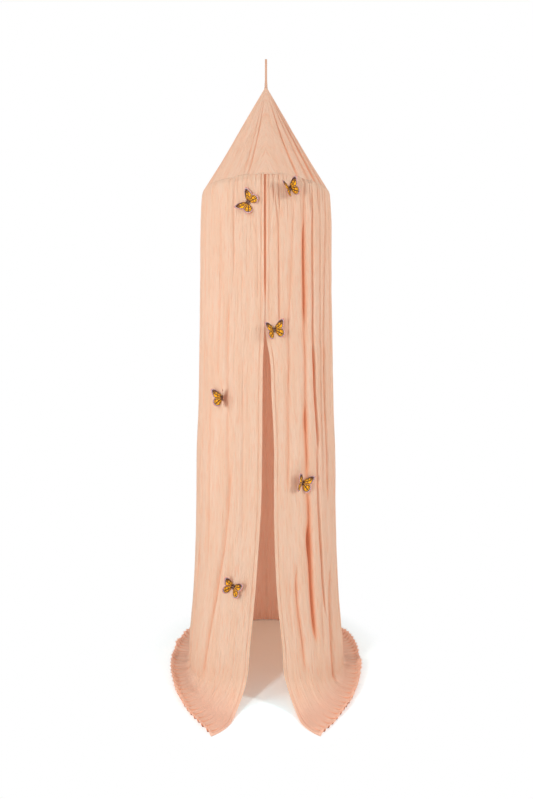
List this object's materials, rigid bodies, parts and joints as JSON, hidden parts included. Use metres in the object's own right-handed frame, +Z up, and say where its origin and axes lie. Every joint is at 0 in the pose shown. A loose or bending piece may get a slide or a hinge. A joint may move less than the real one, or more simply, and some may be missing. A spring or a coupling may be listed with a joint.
{
  "type": "bed crown canopy",
  "caption": "Hanging bed canopy of crinkled gauze: a cone over a hidden hoop with gathered drapes to the floor, parted at the front and set with cloth butterflies.",
  "frame": {"origin": "inside top of the loop's eye, where the ceiling hook bears; the floor is at z = -2.370 m", "axes": "+Z up, -Y towards the front, where the drapes part, +X to the right as seen from the front"},
  "size_m": [0.7452, 0.8513, 2.371],
  "materials": {
    "cloth": "crinkled cotton gauze, matt",
    "strap": "folded cotton tape, matt",
    "rod": "satin",
    "sleeve": "satin",
    "wing_cloth": "printed sheer cloth",
    "body_thread": "wound thread"
  },
  "bodies": {
    "canopy": {"hanging_loop": "strap", "apex_collar": "strap", "front_left_gore": "cloth", "front_right_gore": "cloth", "back_left_gore": "cloth", "back_right_gore": "cloth", "hoop_casing": "cloth", "hoop_rod_front_left": "rod", "hoop_rod_back_left": "rod", "hoop_rod_back_right": "rod", "hoop_rod_front_right": "rod", "hoop_sleeve_front_left": "sleeve", "hoop_sleeve_back_left": "sleeve", "hoop_sleeve_back_right": "sleeve", "hoop_sleeve_front_right": "sleeve", "left_front_heading": "cloth", "right_front_heading": "cloth", "left_back_drape": "cloth", "right_back_drape": "cloth", "butterfly_1_body": "body_thread", "butterfly_2_body": "body_thread"},
    "left_flap": {"left_front_drape": "cloth", "butterfly_4_body": "body_thread", "butterfly_6_body": "body_thread"},
    "right_flap": {"right_front_drape": "cloth", "butterfly_3_body": "body_thread", "butterfly_5_body": "body_thread"},
    "butterfly_1_left_wing": {"butterfly_1_left_wing": "wing_cloth"},
    "butterfly_1_right_wing": {"butterfly_1_right_wing": "wing_cloth"},
    "butterfly_2_left_wing": {"butterfly_2_left_wing": "wing_cloth"},
    "butterfly_2_right_wing": {"butterfly_2_right_wing": "wing_cloth"},
    "butterfly_3_left_wing": {"butterfly_3_left_wing": "wing_cloth"},
    "butterfly_3_right_wing": {"butterfly_3_right_wing": "wing_cloth"},
    "butterfly_4_left_wing": {"butterfly_4_left_wing": "wing_cloth"},
    "butterfly_4_right_wing": {"butterfly_4_right_wing": "wing_cloth"},
    "butterfly_5_left_wing": {"butterfly_5_left_wing": "wing_cloth"},
    "butterfly_5_right_wing": {"butterfly_5_right_wing": "wing_cloth"},
    "butterfly_6_left_wing": {"butterfly_6_left_wing": "wing_cloth"},
    "butterfly_6_right_wing": {"butterfly_6_right_wing": "wing_cloth"}
  },
  "joints": [
    {"name": "left_flap_draws_aside", "type": "hinge", "parent": "canopy", "child": "left_flap", "pos_m": [-0.2555, 0, -0.703], "axis": [-0.0369, 0, -0.9993], "range_deg": [0, 40]},
    {"name": "right_flap_draws_aside", "type": "hinge", "parent": "canopy", "child": "right_flap", "pos_m": [0.2555, 0, -0.703], "axis": [-0.0369, 0, 0.9993], "range_deg": [0, 40]},
    {"name": "butterfly_1_left_wing_lifts", "type": "hinge", "parent": "canopy", "child": "butterfly_1_left_wing", "pos_m": [-0.0647, -0.24554, -0.62014], "axis": [-0.821, 0.2123, 0.5299], "range_deg": [-13, 64]},
    {"name": "butterfly_1_right_wing_lifts", "type": "hinge", "parent": "canopy", "child": "butterfly_1_right_wing", "pos_m": [-0.06245, -0.24612, -0.61641], "axis": [0.821, -0.2123, -0.5299], "range_deg": [-11, 66]},
    {"name": "butterfly_2_left_wing_lifts", "type": "hinge", "parent": "canopy", "child": "butterfly_2_left_wing", "pos_m": [0.08307, -0.23672, -0.56798], "axis": [-0.3676, -0.1324, 0.9205], "range_deg": [-46, 28]},
    {"name": "butterfly_2_right_wing_lifts", "type": "hinge", "parent": "canopy", "child": "butterfly_2_right_wing", "pos_m": [0.08688, -0.23535, -0.56626], "axis": [0.3676, 0.1324, -0.9205], "range_deg": [-52, 22]},
    {"name": "butterfly_3_left_wing_lifts", "type": "hinge", "parent": "right_flap", "child": "butterfly_3_left_wing", "pos_m": [0.0274, -0.25553, -1.07128], "axis": [-0.2065, -0.0239, 0.9781], "range_deg": [-45, 27]},
    {"name": "butterfly_3_right_wing_lifts", "type": "hinge", "parent": "right_flap", "child": "butterfly_3_right_wing", "pos_m": [0.03168, -0.25504, -1.07036], "axis": [0.2065, 0.0239, -0.9781], "range_deg": [-20, 54]},
    {"name": "butterfly_4_left_wing_lifts", "type": "hinge", "parent": "left_flap", "child": "butterfly_4_left_wing", "pos_m": [-0.15897, -0.2058, -1.31648], "axis": [-0.0417, 0.0316, 0.9986], "range_deg": [-16, 50]},
    {"name": "butterfly_4_right_wing_lifts", "type": "hinge", "parent": "left_flap", "child": "butterfly_4_right_wing", "pos_m": [-0.15547, -0.20846, -1.31625], "axis": [0.0417, -0.0316, -0.9986], "range_deg": [-37, 37]},
    {"name": "butterfly_5_left_wing_lifts", "type": "hinge", "parent": "right_flap", "child": "butterfly_5_left_wing", "pos_m": [0.12884, -0.23108, -1.61758], "axis": [0.2397, 0.1362, 0.9613], "range_deg": [-16, 30]},
    {"name": "butterfly_5_right_wing_lifts", "type": "hinge", "parent": "right_flap", "child": "butterfly_5_right_wing", "pos_m": [0.13252, -0.22899, -1.6188], "axis": [-0.2397, -0.1362, -0.9613], "range_deg": [-12, 62]},
    {"name": "butterfly_6_left_wing_lifts", "type": "hinge", "parent": "left_flap", "child": "butterfly_6_left_wing", "pos_m": [-0.11765, -0.25316, -1.97772], "axis": [0.3112, -0.1418, 0.9397], "range_deg": [-42, 32]},
    {"name": "butterfly_6_right_wing_lifts", "type": "hinge", "parent": "left_flap", "child": "butterfly_6_right_wing", "pos_m": [-0.11388, -0.25488, -1.97923], "axis": [-0.3112, 0.1418, -0.9397], "range_deg": [-20, 54]}
  ]
}
